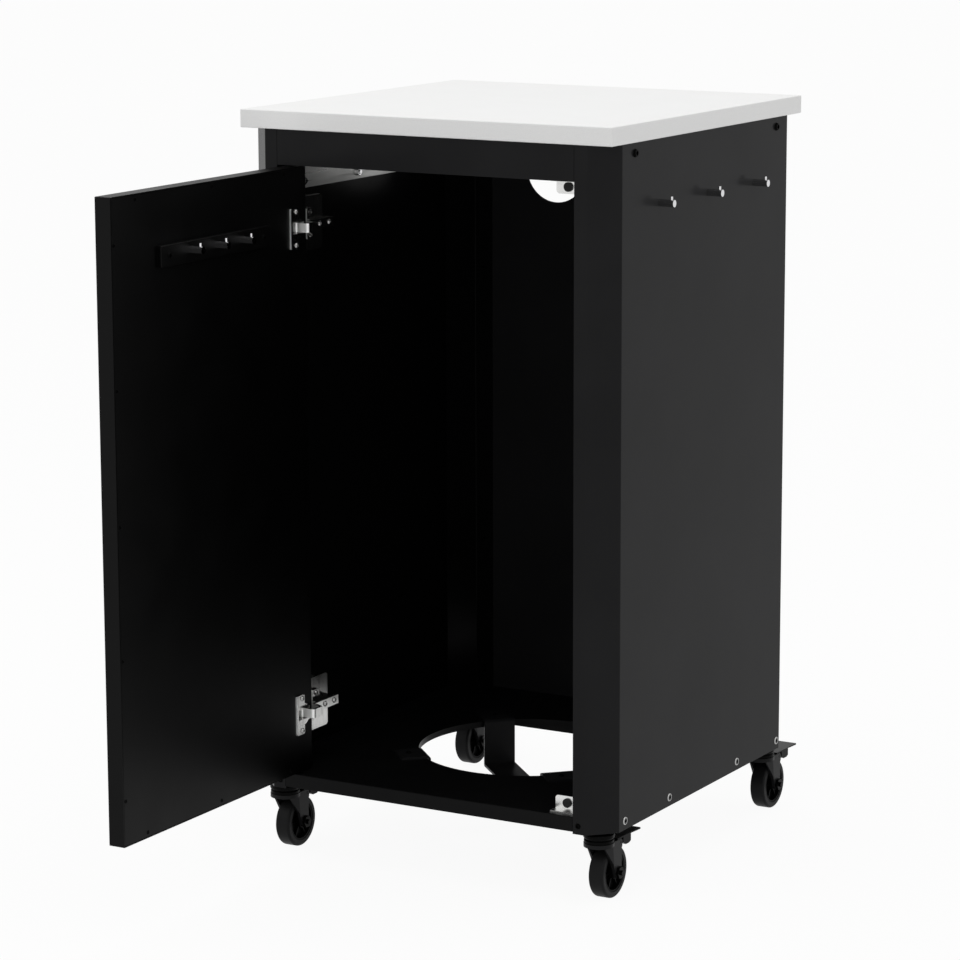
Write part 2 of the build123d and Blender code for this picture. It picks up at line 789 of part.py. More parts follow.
cup_cutouts = [
    (z - cup_half_height - cup_cheek - cutout_gap, z + cup_half_height + cup_cheek + cutout_gap)
    for z in hinge_heights.values()
]
cup_cutout_s = (cup_start - cup_wall - cutout_gap, cup_end + cup_wall + cutout_gap)

# Door shell: a folded pan with an inner flange that carries the back sheet
with BuildPart() as door_shell:
    wall_s = (door_sheet, door_width - door_sheet)
    wall_z = (door_bottom + door_sheet, door_top - door_sheet)
    flange_face_t = door_thickness - door_sheet
    door_block((0, door_width), (0, door_thickness), (door_bottom, door_top))
    outer_face = door_shell.faces().sort_by(Axis.X)[0]
    fillet(outer_face.edges() + door_shell.edges().filter_by(Axis.X), door_edge_radius)
    door_block(wall_s, (door_sheet, door_thickness), wall_z, Mode.SUBTRACT)
    door_block(wall_s, (flange_face_t - door_sheet, flange_face_t), wall_z)
    door_block(
        (wall_s[0] + door_flange, wall_s[1] - door_flange),
        (flange_face_t - door_sheet, flange_face_t),
        (wall_z[0] + door_flange, wall_z[1] - door_flange),
        Mode.SUBTRACT,
    )
    for cutout_z in cup_cutouts:
        door_block(cup_cutout_s, (flange_face_t - door_sheet, flange_face_t), cutout_z, Mode.SUBTRACT)
    drill(RIGHT, door_screw_points, small_hole, 4 * door_sheet)
save(door_shell, "door_shell")

# Door back sheet: lies on the flange, flush with the pan's walls
with BuildPart() as door_back_sheet:
    door_block(
        (wall_s[0] + door_seam, wall_s[1] - door_seam),
        (flange_face_t, door_thickness),
        (wall_z[0] + door_seam, wall_z[1] - door_seam),
    )
    for cutout_z in cup_cutouts:
        door_block(cup_cutout_s, (flange_face_t, door_thickness), cutout_z, Mode.SUBTRACT)
    drill(RIGHT, door_screw_points + cup_screw_points, small_hole, 6 * door_sheet)
    drill(RIGHT, strip_screw_points, small_hole, strip_screw_length)
    drill(RIGHT, door_hook_points, stud_hole, strip_screw_length)
save(door_back_sheet, "door_back_sheet")

with BuildPart() as door_screws:
    screws(
        RIGHT,
        door_screw_points,
        4 * door_sheet,
        small_screw_radius,
        door_screw_head_radius,
        door_screw_head_height,
    )
    small_screws(RIGHT, strip_screw_points, strip_screw_length)
save(door_screws, "door_screws")

# Hinge cups: a box sunk in the door under a flange of two ears and a round rim, with cheeks for the pin
for name, z in hinge_heights.items():
    with BuildPart() as hinge_cup:
        cup_t = (door_thickness - cup_depth - cup_wall, cup_face_t)
        cheek = cup_half_height + cup_cheek
        door_block(
            (cup_plate_start, cup_plate_end),
            (door_thickness, cup_face_t),
            (z - cup_plate_half_height, z + cup_plate_half_height),
        )
        fillet(hinge_cup.edges().filter_by(Axis.X), cup_plate_radius)
        with Locations(*facing(RIGHT, [door_point(cup_rim_from_end, door_thickness, z)])):
            Cylinder(cup_rim_radius, cup_plate_thickness, align=UP)
        door_block((cup_start - cup_wall, cup_end + cup_wall), cup_t, (z - cheek, z + cheek))
        door_block(
            (cup_start, cup_end),
            (door_thickness - cup_depth, cup_face_t),
            (z - cup_half_height, z + cup_half_height),
            Mode.SUBTRACT,
        )
        drill(SKY, [(pin_x, pin_y, z + cheek)], pin_radius + press_gap, 2 * cheek)
        drill(RIGHT, cup_screw_points, small_hole, 4 * cup_plate_thickness)
    save(hinge_cup, f"hinge_cup_{name}")

with BuildPart() as hinge_pins:
    with Locations(*[(pin_x, pin_y, z) for z in hinge_heights.values()]):
        Cylinder(pin_radius, 2 * (cup_half_height + cup_cheek))
save(hinge_pins, "hinge_pins")

# Hook strip with its pegs on the inside of the door
with BuildPart() as hook_strip:
    door_block(
        (door_width / 2 - hook_strip_length / 2, door_width / 2 + hook_strip_length / 2),
        (door_thickness, strip_face_t),
        (strip_middle_z - hook_strip_height / 2, strip_middle_z + hook_strip_height / 2),
    )
    fillet(hook_strip.edges().filter_by(Axis.X), hook_strip_radius)
    fillet(hook_strip.faces().sort_by(Axis.X)[-1].edges(), hook_strip_edge)
    drill(RIGHT, strip_screw_points, small_hole, 2 * hook_strip_thickness)
    drill(RIGHT, door_hook_points, stud_hole, 2 * hook_strip_thickness)
save(hook_strip, "hook_strip")

with BuildPart() as door_hooks:
    hooks(RIGHT, door_hook_points, door_hook_length)
save(door_hooks, "door_hooks")

with BuildPart() as door_fitting_screws:
    small_screws(RIGHT, cup_screw_points)
save(door_fitting_screws, "door_fitting_screws")

# Door handle: a plain bar on two feet on the outer face
with BuildPart() as door_handle:
    handle_s = door_width - handle_from_free_end
    handle_z = door_top - handle_below_top
    bar_s = (handle_s - handle_bar / 2, handle_s + handle_bar / 2)
    bar_z = (handle_z - handle_length / 2, handle_z + handle_length / 2)
    door_block(bar_s, (-handle_projection, handle_bar - handle_projection), bar_z)
    fillet(door_handle.edges(), handle_edge)
    for way in (-1, 1):
        foot_z = handle_z + way * handle_foot_spacing / 2
        foot_t = (handle_bar / 2 - handle_projection, 0)
        door_block(bar_s, foot_t, (foot_z - handle_bar / 2, foot_z + handle_bar / 2))
save(door_handle, "door_handle")


# Castors: head, fork, wheel core, tyre, pins and brake pedal for each corner
race_top = castor_height - race_top_drop
race_bottom = race_top - race_height
neck_bottom = race_bottom - race_neck_height
lower_race_top = neck_bottom - race_gap
crown_top = lower_race_top - lower_race_height
crown_bottom = crown_top - crown_thickness
pedal_pin_u = castor_trail + pedal_pin_offset
pedal_pin_z = castor_height - pedal_pin_drop
core_radius = wheel_radius - tyre_thickness


def castor_side(x, y):
    """The castor's middle plane: first axis backwards from the swivel, second axis up."""
    return Plane(origin=(x, y, 0), x_dir=BACK, z_dir=RIGHT)


def axle_plane(x, y, offset_x=0):
    """A plane square to the axle, at its middle or beside it."""
    return Plane(origin=(x + offset_x, y + castor_trail, wheel_radius), x_dir=BACK, z_dir=RIGHT)


def cross_bar(x, y, u, z, radius, half_length, mode=Mode.ADD):
    """A round bar or hole across the castor."""
    with Locations(Plane(origin=(x, y + u, z), z_dir=RIGHT)):
        Cylinder(radius, 2 * half_length, mode=mode)


for castor, (x, y) in castor_points.items():
    with BuildPart() as head:
        with Locations((x, y, race_bottom)):
            Cylinder(race_radius, race_height, align=UP)
        fillet(head.edges(), race_edge)
        with Locations((x, y, race_top)):
            Cylinder(castor_boss_radius, race_top_drop, align=UP)
            Cylinder(stem_radius, race_top_drop + stem_length, align=UP)
        with Locations((x, y, race_bottom)):
            Cylinder(race_neck_radius, race_neck_height, align=DOWN)
            Cylinder(kingpin_radius, race_bottom - crown_bottom + fit_gap + kingpin_head_height, align=DOWN)
        with Locations((x, y, crown_bottom - fit_gap)):
            Cylinder(kingpin_head_radius, kingpin_head_height, align=DOWN)
    save(head, f"{castor}_head")

    with BuildPart() as fork:
        with BuildSketch(castor_side(x, y)):
            with BuildLine():
                front_foot = (castor_trail - boss_radius, wheel_radius)
                rear_foot = (castor_trail + boss_radius, wheel_radius)
                lug_u = pedal_pin_u + lug_radius
                lug_top = (pedal_pin_u, pedal_pin_z + lug_radius)
                lug_way = lug_radius / sqrt(2)
                lug_mid = (pedal_pin_u + lug_way, pedal_pin_z + lug_way)
                nose_foot = (fork_front_u, crown_bottom)
                Polyline((fork_front_u, crown_top), nose_foot, fork_knee, fork_ankle, front_foot)
                ThreePointArc(front_foot, (castor_trail, wheel_radius - boss_radius), rear_foot)
                Polyline(
                    rear_foot,
                    (fork_rear_u, fork_rear_top),
                    (lug_u, pedal_pin_z - lug_depth),
                    (lug_u, pedal_pin_z),
                )
                ThreePointArc((lug_u, pedal_pin_z), lug_mid, lug_top)
                Polyline(lug_top, (crown_radius, lug_top[1]), (0, crown_top), (fork_front_u, crown_top))
            make_face()
        extrude(amount=fork_half_width, both=True)
        for side in (-1, 1):
            crease_top = Vector(x + side * fork_half_width, y + fork_bevel_top_u, crown_bottom)
            crease_foot = Vector(x + side * fork_half_width, y + fork_ankle[0], fork_ankle[1])
            nose = Vector(x + side * (fork_half_width - fork_bevel_depth), y + fork_front_u, crown_bottom)
            outward = (crease_foot - crease_top).cross(nose - crease_top) * -side
            split(bisect_by=Plane(origin=crease_top, z_dir=outward), keep=Keep.BOTTOM)
        well_y = (y - castor_height, y + castor_height)
        block((x - leg_gap, x + leg_gap), well_y, (0, crown_top), Mode.SUBTRACT)
        with Locations((x, y, crown_bottom)):
            Cylinder(crown_radius, crown_thickness, align=UP)
        with BuildPart(Plane((x, y, crown_top)), mode=Mode.PRIVATE) as lower_race:
            Cylinder(lower_race_radius, lower_race_height, align=UP)
            fillet(lower_race.edges(), lower_race_edge)
        add(lower_race.part)
        drill(SKY, [(x, y, castor_height)], kingpin_radius + running_gap, castor_height)
        axle_hole = axle_radius + press_gap
        pedal_pin_hole = pedal_pin_radius + press_gap
        cross_bar(x, y, castor_trail, wheel_radius, axle_hole, 2 * fork_half_width, Mode.SUBTRACT)
        cross_bar(x, y, pedal_pin_u, pedal_pin_z, pedal_pin_hole, 2 * fork_half_width, Mode.SUBTRACT)
    save(fork, f"{castor}_fork")

    with BuildPart() as wheel:
        core_half = wheel_width / 2 - core_step
        recess_radius = core_radius - core_recess_rim
        web_half = core_half - core_recess_depth
        with Locations(axle_plane(x, y)):
            Cylinder(core_radius - press_gap, 2 * core_half)
        for way in (-1, 1):
            with Locations(axle_plane(x, y, way * (web_half + core_recess_depth / 2))):
                Cylinder(recess_radius, core_recess_depth, mode=Mode.SUBTRACT)
            rib_depth = core_recess_depth - core_rib_step
            with Locations(axle_plane(x, y, way * (web_half + rib_depth / 2))):
                with PolarLocations((hub_radius + recess_radius) / 2, core_ribs):
                    Box(recess_radius - hub_radius + core_rib_overlap, core_rib_width, rib_depth)
        with Locations(axle_plane(x, y)):
            Cylinder(hub_radius, 2 * (leg_gap - fit_gap))
            Cylinder(axle_radius + running_gap, 2 * leg_gap, mode=Mode.SUBTRACT)
    save(wheel, f"{castor}_wheel")

    with BuildPart() as tyre:
        with Locations(axle_plane(x, y)):
            Cylinder(wheel_radius, wheel_width)
        fillet(tyre.edges(), tyre_edge_radius)
        with Locations(axle_plane(x, y)):
            Cylinder(core_radius, 2 * wheel_width, mode=Mode.SUBTRACT)
    save(tyre, f"{castor}_tyre")

    with BuildPart() as pins:
        cross_bar(x, y, castor_trail, wheel_radius, axle_radius, fork_half_width)
        for way in (-1, 1):
            with BuildSketch(axle_plane(x, y, way * fork_half_width)):
                RegularPolygon(axle_head_radius, 6)
            extrude(amount=way * axle_head_height)
        with Locations(axle_plane(x, y, fork_half_width)):
            Cylinder(axle_radius, axle_head_height + axle_end, align=UP)
        cross_bar(x, y, pedal_pin_u, pedal_pin_z, pedal_pin_radius, fork_half_width)
    save(pins, f"{castor}_pins")

    with BuildPart() as pedal:
        plate_u = crown_radius + pedal_front_gap
        plate_z = pedal_pin_z + lug_radius + lug_clearance
        tip_u = pedal_pin_u + pedal_tip
        body_u = (pedal_pin_u + pedal_body_start, pedal_pin_u + pedal_body_end)
        shoe = (pedal_pin_u + pedal_shoe, pedal_pin_z - pedal_shoe_drop)
        bevel_u, bevel_z = pedal_body_bevel
        with BuildSketch(castor_side(x, y)):
            with BuildLine():
                Polyline(
                    (plate_u, plate_z),
                    (body_u[0], plate_z),
                    (body_u[0], pedal_pin_z - pedal_body_front_drop),
                    shoe,
                    (body_u[1] - bevel_u, shoe[1]),
                    (body_u[1], shoe[1] + bevel_z),
                    (body_u[1], plate_z),
                    (tip_u, plate_z - pedal_tip_drop),
                    (tip_u, plate_z - pedal_tip_drop + pedal_thickness),
                    (plate_u, plate_z + pedal_thickness),
                    close=True,
                )
            make_face()
        extrude(amount=pedal_half_width, both=True)
        fillet(pedal.edges().filter_by(Axis.Z).group_by(Axis.Y)[-1], pedal_tip_radius)
        with BuildSketch(castor_side(x, y)):
            with Locations((pedal_pin_u, pedal_pin_z)):
                Circle(pedal_eye_radius)
                Rectangle(pedal_body_start, 2 * pedal_body_front_drop, align=(Align.MIN, Align.CENTER))
        extrude(amount=pedal_root_half_width, both=True)
        pedal_bore = pedal_pin_radius + running_gap
        cross_bar(x, y, pedal_pin_u, pedal_pin_z, pedal_bore, pedal_half_width, Mode.SUBTRACT)
    save(pedal, f"{castor}_pedal")
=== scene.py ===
import json
from math import radians

import bpy
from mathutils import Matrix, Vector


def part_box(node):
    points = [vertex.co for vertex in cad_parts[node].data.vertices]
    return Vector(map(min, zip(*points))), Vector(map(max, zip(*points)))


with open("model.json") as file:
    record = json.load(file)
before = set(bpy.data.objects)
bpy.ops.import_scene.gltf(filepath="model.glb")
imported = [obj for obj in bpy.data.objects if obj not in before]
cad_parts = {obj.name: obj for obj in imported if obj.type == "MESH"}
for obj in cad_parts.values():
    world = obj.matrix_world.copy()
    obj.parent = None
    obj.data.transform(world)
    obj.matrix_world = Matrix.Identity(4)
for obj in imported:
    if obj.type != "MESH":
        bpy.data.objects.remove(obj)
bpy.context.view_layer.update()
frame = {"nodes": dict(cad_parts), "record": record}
scene = bpy.context.scene

# Places that materials follow, in metres, from the frame
skin_depth = 0.0007  # about half the sheet
wall_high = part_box("side_panel_right")[1]
side_skin = wall_high[0] - skin_depth
end_skin = wall_high[1] - skin_depth
corner_skin = 0.457  # x plus y inside the sheet of a chamfered corner

race_height = 0.0041
race_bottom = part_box("castor_front_left_fork")[1][2] - race_height

screw_low, screw_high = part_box("side_screws_silver")
screw_shift = (screw_low[1] + screw_high[1]) / 2
screw_height = (screw_low[2] + screw_high[2]) / 2
screw_offsets = (0.091, 0.204)  # from the middle of the row
# Radius of the dark screw face, painted as shade of the socket
socket_shade_radius = 0.0035

pin_proud = 0.0035
side_shank_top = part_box("side_hooks_right")[1][2] - pin_proud
door_shank_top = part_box("door_hooks")[1][2] - pin_proud

# Noise: the part of its range that is used, and its scales in cells to the metre
noise_low, noise_high = 0.3, 0.7
grain_detail = 2.0
coat_cloud, coat_cloud_detail, coat_gloss = 7.0, 4.0, 16.0
plate_cloud, plate_cloud_detail, plate_gloss = 35.0, 5.0, 400.0
drawn_detail = 4.0

# Wear: shares by which colour and roughness change, and the strength of the bump
coat_change, coat_gloss_change, coat_bump = 0.12, 0.03, 0.35
plate_change, plate_bump = 0.06, 0.3
smoother, rougher = 0.8, 1.25


# Node helpers

def start_material(name):
    """A material with only a Principled shader and an output, and its object coordinates."""
    material = bpy.data.materials.new(name)
    material.use_nodes = True
    tree = material.node_tree
    tree.nodes.clear()
    output = tree.nodes.new("ShaderNodeOutputMaterial")
    shader = tree.nodes.new("ShaderNodeBsdfPrincipled")
    place = tree.nodes.new("ShaderNodeTexCoord")
    tree.links.new(shader.outputs["BSDF"], output.inputs["Surface"])
    return material, tree, shader, place.outputs["Object"]


def start_metal(name):
    """The same, for bare or plated metal."""
    material, tree, shader, place = start_material(name)
    shader.inputs["Metallic"].default_value = 1.0
    return material, tree, shader, place


def stretched(tree, place, stretch):
    """Coordinates scaled along each axis, for drawn grain."""
    mapping = tree.nodes.new("ShaderNodeMapping")
    mapping.inputs["Scale"].default_value = stretch
    tree.links.new(place, mapping.inputs["Vector"])
    return mapping.outputs["Vector"]


def noise(tree, place, scale, detail=3.0, roughness=0.5):
    """A noise value from 0 to 1; the scale is in cells to the metre."""
    node = tree.nodes.new("ShaderNodeTexNoise")
    node.inputs["Scale"].default_value = scale
    node.inputs["Detail"].default_value = detail
    node.inputs["Roughness"].default_value = roughness
    tree.links.new(place, node.inputs["Vector"])
    return node.outputs["Fac"]


def spread(tree, value, low, high):
    """Maps the middle of a noise value on to a range."""
    node = tree.nodes.new("ShaderNodeMapRange")
    node.inputs["From Min"].default_value = noise_low
    node.inputs["From Max"].default_value = noise_high
    node.inputs["To Min"].default_value = low
    node.inputs["To Max"].default_value = high
    tree.links.new(value, node.inputs["Value"])
    return node.outputs["Result"]


def worn(tree, value, rough):
    """A roughness that a noise value makes a little smoother or rougher."""
    return spread(tree, value, rough * smoother, rough * rougher)


def tint(tree, value, dark, pale):
    """A colour between two others, picked by a noise value."""
    node = tree.nodes.new("ShaderNodeValToRGB")
    node.color_ramp.elements[0].position = noise_low
    node.color_ramp.elements[0].color = (*dark, 1)
    node.color_ramp.elements[1].position = noise_high
    node.color_ramp.elements[1].color = (*pale, 1)
    tree.links.new(value, node.inputs["Fac"])
    return node.outputs["Color"]


def varied(tree, value, colour, change):
    """A colour that a noise value makes darker or paler, by a share either way."""
    dark = [part * (1 - change) for part in colour]
    pale = [part * (1 + change) for part in colour]
    return tint(tree, value, dark, pale)


def plated(tree, place, colour):
    """A metal's colour with small changes of tone."""
    cloud = noise(tree, place, plate_cloud, plate_cloud_detail)
    return varied(tree, cloud, colour, plate_change)


def bump(tree, shader, height, strength, distance):
    """Raises the surface by a height value, in metres."""
    node = tree.nodes.new("ShaderNodeBump")
    node.inputs["Strength"].default_value = strength
    node.inputs["Distance"].default_value = distance
    tree.links.new(height, node.inputs["Height"])
    tree.links.new(node.outputs["Normal"], shader.inputs["Normal"])


def maths(tree, operation, first, second=None):
    """A sum on values or constants."""
    node = tree.nodes.new("ShaderNodeMath")
    node.operation = operation
    for socket, value in zip(node.inputs, (first, second)):
        if isinstance(value, (int, float)):
            socket.default_value = value
        elif value is not None:
            tree.links.new(value, socket)
    return node.outputs[0]


def split(tree, vector):
    """The X, Y and Z of a vector."""
    parts = tree.nodes.new("ShaderNodeSeparateXYZ")
    tree.links.new(vector, parts.inputs["Vector"])
    return parts.outputs["X"], parts.outputs["Y"], parts.outputs["Z"]


def facing(tree):
    """The X, Y and Z of the way that a surface faces."""
    surface = tree.nodes.new("ShaderNodeNewGeometry")
    return split(tree, surface.outputs["True Normal"])


def blended(tree, share, first, second):
    """The first colour, or the second where the share is 1."""
    node = tree.nodes.new("ShaderNodeMix")
    node.data_type = "RGBA"
    tree.links.new(share, node.inputs["Factor"])
    tree.links.new(first, node.inputs["A"])
    node.inputs["B"].default_value = (*second, 1)
    return node.outputs["Result"]


def inside_cabinet_shade_mask(tree, place):
    """1 on surfaces that face into the cabinet, behind its outer skin, otherwise 0: the mask for painted
    shade inside the cabinet.
    """
    x, y, _ = split(tree, place)
    across = maths(tree, "ABSOLUTE", x)
    along = maths(tree, "ABSOLUTE", y)
    corner = maths(tree, "SUBTRACT", maths(tree, "ADD", across, along), corner_skin)
    side = maths(tree, "SUBTRACT", across, side_skin)
    walls = maths(tree, "MAXIMUM", side, maths(tree, "SUBTRACT", along, end_skin))
    return maths(tree, "LESS_THAN", maths(tree, "MAXIMUM", walls, corner), 0.0)


# Kinds of material

def coated(name, colour, specular, rough, grain, depth, inside_shade=None):
    """Powder coat, nylon or rubber: a dark body with fine grain and slow changes of tone and gloss. An
    inside colour, if given, is painted shade on surfaces inside the cabinet.
    """
    material, tree, shader, place = start_material(name)
    shader.inputs["Specular IOR Level"].default_value = specular
    cloud = noise(tree, place, coat_cloud, coat_cloud_detail)
    base = varied(tree, cloud, colour, coat_change)
    # Painted shade: a darker colour on surfaces inside the cabinet
    if inside_shade is not None:
        base = blended(tree, inside_cabinet_shade_mask(tree, place), base, inside_shade)
    tree.links.new(base, shader.inputs["Base Color"])
    gloss = noise(tree, place, coat_gloss)
    gloss = spread(tree, gloss, rough - coat_gloss_change, rough + coat_gloss_change)
    tree.links.new(gloss, shader.inputs["Roughness"])
    bump(tree, shader, noise(tree, place, grain, grain_detail), coat_bump, depth)
    return material


def black_above(material, height, black):
    """Turns a coat black, with half its shine, above a height: the swivel race on a castor's fork."""
    tree = material.node_tree
    shader = tree.nodes["Principled BSDF"]
    place = tree.nodes.new("ShaderNodeTexCoord")
    _, _, z = split(tree, place.outputs["Object"])
    share = maths(tree, "GREATER_THAN", z, height)
    base = shader.inputs["Base Color"].links[0].from_socket
    tree.links.new(blended(tree, share, base, black), shader.inputs["Base Color"])
    plain = shader.inputs["Specular IOR Level"].default_value
    level = maths(tree, "SUBTRACT", plain, maths(tree, "MULTIPLY", share, plain / 2))
    tree.links.new(level, shader.inputs["Specular IOR Level"])
    return material


def metal(name, colour, rough, stretch=(1, 1, 1), scale=220.0, depth=0.00003):
    """Plated or polished steel with a fine drawn grain and small changes of gloss."""
    material, tree, shader, place = start_metal(name)
    grain = noise(tree, stretched(tree, place, stretch), scale, drawn_detail)
    tree.links.new(plated(tree, place, colour), shader.inputs["Base Color"])
    tree.links.new(worn(tree, grain, rough), shader.inputs["Roughness"])
    bump(tree, shader, grain, plate_bump, depth)
    return material


def painted_glint_chrome(name, shade, bright, rough, shank_top):
    """Chrome with painted reflection: brighter on flat ends and on the pins above the shank, as a painted
    highlight, and darker round the shank, as a painted reflection of the dark walls.
    """
    glint_facing = 0.7
    material, tree, shader, place = start_metal(name)
    sideways, _, _ = facing(tree)
    _, _, z = split(tree, place)
    end_glint = maths(tree, "GREATER_THAN", maths(tree, "ABSOLUTE", sideways), glint_facing)
    pin_glint = maths(tree, "GREATER_THAN", z, shank_top)
    base = plated(tree, place, shade)
    # Painted highlight: the brighter colour on flat ends and pins
    base = blended(tree, maths(tree, "MAXIMUM", end_glint, pin_glint), base, bright)
    tree.links.new(base, shader.inputs["Base Color"])
    tree.links.new(worn(tree, noise(tree, place, plate_gloss), rough), shader.inputs["Roughness"])
    return material


def facing_lit_metal(name, face, painted_light_edge, face_rough, edge_rough):
    """Plated steel: glossy on faces that look sideways; matt and paler on faces that look front or back,
    where the paler colour is painted light.
    """
    edge_from, edge_full = 0.45, 0.85
    grain_stretch, grain_scale, grain_depth = (1, 1, 0.1), 260.0, 0.00002
    material, tree, shader, place = start_metal(name)
    _, endways, _ = facing(tree)
    share = tree.nodes.new("ShaderNodeMapRange")
    share.inputs["From Min"].default_value = edge_from
    share.inputs["From Max"].default_value = edge_full
    tree.links.new(maths(tree, "ABSOLUTE", endways), share.inputs["Value"])
    # Painted light: a paler colour on faces that look front or back
    base = blended(tree, share.outputs["Result"], plated(tree, place, face), painted_light_edge)
    tree.links.new(base, shader.inputs["Base Color"])
    grain = noise(tree, stretched(tree, place, grain_stretch), grain_scale, drawn_detail)
    extra = maths(tree, "MULTIPLY", share.outputs["Result"], edge_rough - face_rough)
    rough = maths(tree, "ADD", worn(tree, grain, face_rough), extra)
    tree.links.new(rough, shader.inputs["Roughness"])
    bump(tree, shader, grain, plate_bump, grain_depth)
    return material


def rim_metal_socket_shade(name, bright, dark, rough):
    """Low screw heads on the side walls, two each side of the middle: a bright rim round a dark face, which
    is painted shade of the socket.
    """
    rim_cloud = 300.0
    material, tree, shader, place = start_metal(name)
    _, y, z = split(tree, place)
    near, far = screw_offsets
    centre, half_gap = (near + far) / 2, (far - near) / 2
    middle = maths(tree, "SUBTRACT", y, screw_shift)
    along = maths(tree, "SUBTRACT", maths(tree, "ABSOLUTE", middle), centre)
    along = maths(tree, "SUBTRACT", maths(tree, "ABSOLUTE", along), half_gap)
    up = maths(tree, "SUBTRACT", z, screw_height)
    square = maths(tree, "ADD", maths(tree, "MULTIPLY", along, along), maths(tree, "MULTIPLY", up, up))
    face = maths(tree, "LESS_THAN", square, socket_shade_radius**2)
    base = varied(tree, noise(tree, place, rim_cloud), bright, plate_change)
    # Painted shade: the dark colour inside the face radius stands for the shaded socket
    tree.links.new(blended(tree, face, base, dark), shader.inputs["Base Color"])
    tree.links.new(worn(tree, noise(tree, place, plate_gloss), rough), shader.inputs["Roughness"])
    return material


def solid_surface(name):
    """White satin worktop with a faint fine speckle."""
    dark, pale, specular = (0.845, 0.845, 0.84), (0.89, 0.89, 0.885), 0.35
    speck_scale, speck_roughness = 900.0, 0.7
    gloss_scale, smoothest, roughest = 20.0, 0.36, 0.44
    grain_scale, grain_strength, grain_depth = 500.0, 0.15, 0.00002
    material, tree, shader, place = start_material(name)
    shader.inputs["Specular IOR Level"].default_value = specular
    speck = noise(tree, place, speck_scale, grain_detail, speck_roughness)
    tree.links.new(tint(tree, speck, dark, pale), shader.inputs["Base Color"])
    gloss = spread(tree, noise(tree, place, gloss_scale), smoothest, roughest)
    tree.links.new(gloss, shader.inputs["Roughness"])
    bump(tree, shader, noise(tree, place, grain_scale, grain_detail), grain_strength, grain_depth)
    return material


# Finishes by the record's material slots; coats: colour, specular, rough, grain and depth
castor_nylon = coated("castor_nylon", (0.012, 0.012, 0.0125), 0.075, 0.35, 500.0, 0.00003)
door_coat = coated("door_powder_coat", (0.0004, 0.0004, 0.00042), 0.11, 0.44, 700.0, 0.00003)
finishes = {
    "worktop": solid_surface("worktop_white"),
    "body_paint": coated(
        "body_powder_coat",
        (0.0145, 0.0145, 0.0151),
        0.044,
        0.21,
        700.0,
        0.00003,
        # Painted shade inside the cabinet
        inside_shade=(0.003, 0.003, 0.0031),
    ),
    "door_paint": door_coat,
    "bearer_zinc": metal("bearer_zinc_plate", (0.56, 0.56, 0.55), 0.34, (1, 0.05, 1)),
    "strap_paint": coated("strap_satin_black", (0.010, 0.010, 0.0105), 0.12, 0.45, 600.0, 0.00004),
    "catch_zinc": metal("catch_bright_zinc", (0.74, 0.74, 0.73), 0.26, (0.08, 1, 1)),
    "magnet": coated("magnet_black", (0.010, 0.010, 0.010), 0.2, 0.5, 500.0, 0.00005),
    "screw_black": coated("screw_black_oxide", (0.001, 0.001, 0.001), 0.03, 0.4, 500.0, 0.00004),
    "hinge_steel": facing_lit_metal("hinge_nickel_plate_painted_light", (0.52, 0.52, 0.51), (0.95, 0.95, 0.94), 0.18, 0.6),
    "packer": coated("packer_black_nylon", (0.010, 0.010, 0.010), 0.15, 0.5, 500.0, 0.00005),
    "castor_steel": coated("castor_black_zinc", (0.002, 0.002, 0.002), 0.04, 0.25, 500.0, 0.00002),
    "castor_fork": black_above(castor_nylon, race_bottom, (0.0015, 0.0015, 0.0015)),
    "castor_core": coated("castor_wheel_nylon", (0.002, 0.002, 0.0021), 0.03, 0.42, 500.0, 0.00003),
    "castor_tyre": coated("castor_rubber", (0.011, 0.011, 0.0114), 0.075, 0.45, 450.0, 0.00004),
    "castor_pedal": coated("castor_pedal_nylon", (0.0015, 0.0015, 0.0016), 0.045, 0.3, 500.0, 0.00003),
}

# Nodes with a finish of their own: a darker coat painted as shade under and inside the cabinet, pegs, and
# bright screws
painted_shade_coat = coated("painted_shade_powder_coat", (0.0045, 0.0045, 0.0047), 0.07, 0.35, 700.0, 0.00003)
# Peg chrome colours: shank shade and bright colour are painted reflection and painted highlight levels
side_pegs = painted_glint_chrome("side_peg_chrome_painted_glint", (0.4, 0.4, 0.405), (0.68, 0.68, 0.69), 0.12, side_shank_top)
door_pegs = painted_glint_chrome("door_peg_chrome_painted_glint", (0.55, 0.55, 0.56), (0.8, 0.8, 0.81), 0.14, door_shank_top)
hinge_screw = metal("hinge_screw_nickel", (0.3, 0.3, 0.295), 0.12, scale=400.0, depth=0.00001)
own_finishes = {
    "floor_panel": painted_shade_coat,
    "bottle_hole_collar": painted_shade_coat,
    "castor_plate_front": painted_shade_coat,
    "castor_plate_rear": painted_shade_coat,
    "castor_bars_front": painted_shade_coat,
    "castor_bars_rear": painted_shade_coat,
    "side_hooks_left": side_pegs,
    "side_hooks_right": side_pegs,
    "door_hooks": door_pegs,
    "hook_strip": door_coat,
    "side_screws_silver": rim_metal_socket_shade("rim_screw_zinc_painted_socket_shade", (0.42, 0.42, 0.415), (0.012, 0.012, 0.012), 0.3),
    "hinge_screws": hinge_screw,
    "door_fitting_screws": hinge_screw,
}
for subpart in frame["record"]["subparts"]:
    node = subpart["node"]
    mesh = frame["nodes"][node].data
    mesh.materials.clear()
    mesh.materials.append(own_finishes[node] if node in own_finishes else finishes[subpart["material_slot"]])


# Floor and surroundings: white to the camera and in reflections, with a faint shadow left on the floor
floor_size = 80
floor_grey = (0.9, 0.9, 0.9, 1)
floor_white_share = 0.94
world_white = (1, 1, 1, 1)
world_strength = 0.63


def background_rays(tree):
    """1 on rays from the camera, mirrors and glass, otherwise 0."""
    path = tree.nodes.new("ShaderNodeLightPath")
    value = path.outputs["Is Camera Ray"]
    for other in ("Is Glossy Ray", "Is Transmission Ray"):
        value = maths(tree, "MAXIMUM", value, path.outputs[other])
    return value


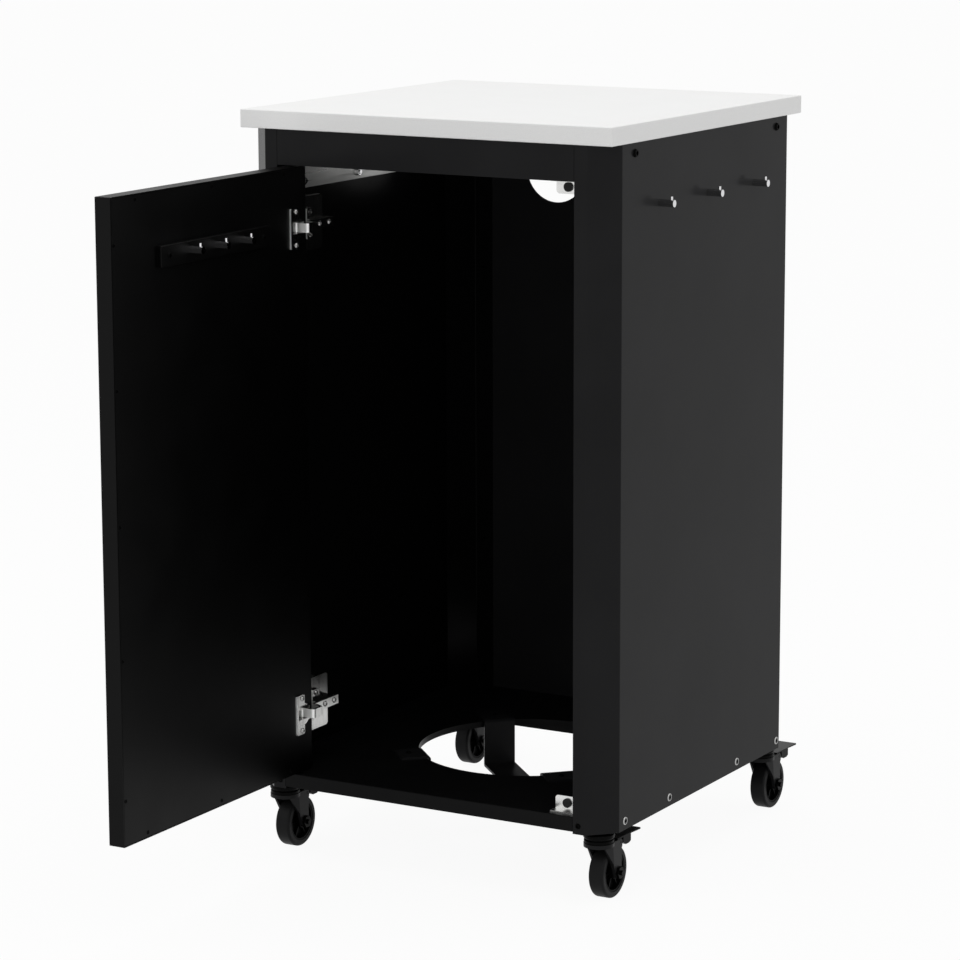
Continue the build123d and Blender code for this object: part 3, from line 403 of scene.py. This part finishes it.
floor_paint = bpy.data.materials.new("studio_floor")
floor_paint.use_nodes = True
floor_tree = floor_paint.node_tree
floor_tree.nodes.clear()
floor_output = floor_tree.nodes.new("ShaderNodeOutputMaterial")
floor_body = floor_tree.nodes.new("ShaderNodeBsdfDiffuse")
floor_body.inputs["Color"].default_value = floor_grey
floor_glow = floor_tree.nodes.new("ShaderNodeEmission")
floor_share = maths(floor_tree, "MULTIPLY", background_rays(floor_tree), floor_white_share)
floor_mix = floor_tree.nodes.new("ShaderNodeMixShader")
floor_tree.links.new(floor_share, floor_mix.inputs["Fac"])
floor_tree.links.new(floor_body.outputs["BSDF"], floor_mix.inputs[1])
floor_tree.links.new(floor_glow.outputs["Emission"], floor_mix.inputs[2])
floor_tree.links.new(floor_mix.outputs["Shader"], floor_output.inputs["Surface"])

bpy.ops.mesh.primitive_plane_add(size=floor_size)
floor = bpy.context.object
floor.name = "floor"
floor.data.materials.append(floor_paint)

world = bpy.data.worlds.new("studio")
world.use_nodes = True
scene.world = world
world_tree = world.node_tree
world_tree.nodes.clear()
world_output = world_tree.nodes.new("ShaderNodeOutputWorld")
soft_light = world_tree.nodes.new("ShaderNodeBackground")
soft_light.inputs["Strength"].default_value = world_strength
white_wall = world_tree.nodes.new("ShaderNodeBackground")
for shade in (soft_light, white_wall):
    shade.inputs["Color"].default_value = world_white
world_mix = world_tree.nodes.new("ShaderNodeMixShader")
world_tree.links.new(background_rays(world_tree), world_mix.inputs["Fac"])
world_tree.links.new(soft_light.outputs["Background"], world_mix.inputs[1])
world_tree.links.new(white_wall.outputs["Background"], world_mix.inputs[2])
world_tree.links.new(world_mix.outputs["Shader"], world_output.inputs["Surface"])


# Lamps, in metres, degrees and watts
def softbox(name, place, tilt, turn, size, power):
    """A large square lamp."""
    light = bpy.data.lights.new(name, "AREA")
    light.shape = "SQUARE"
    light.size = size
    light.energy = power
    lamp = bpy.data.objects.new(name, light)
    lamp.location = place
    lamp.rotation_euler = (radians(tilt), 0, radians(turn))
    scene.collection.objects.link(lamp)


softbox("softbox_overhead", (0.0, -0.4, 3.6), tilt=0, turn=0, size=3.0, power=33)
softbox("softbox_front_left", (-1.2, -1.8, 1.6), tilt=68, turn=-33, size=1.2, power=3.5)

# Camera at the photograph's angle
camera_place = (2.0794, -3.7208, 1.2615)
camera_tilt, camera_turn = radians(79.115), radians(29.147)
lens = bpy.data.cameras.new("camera")
lens.lens = 133.49
lens.sensor_width = 36
lens.shift_x = -0.0523
lens.clip_end = 200
camera = bpy.data.objects.new("camera", lens)
camera.location = camera_place
camera.rotation_euler = (camera_tilt, 0, camera_turn)
scene.collection.objects.link(camera)
scene.camera = camera

scene.view_settings.view_transform = "Standard"
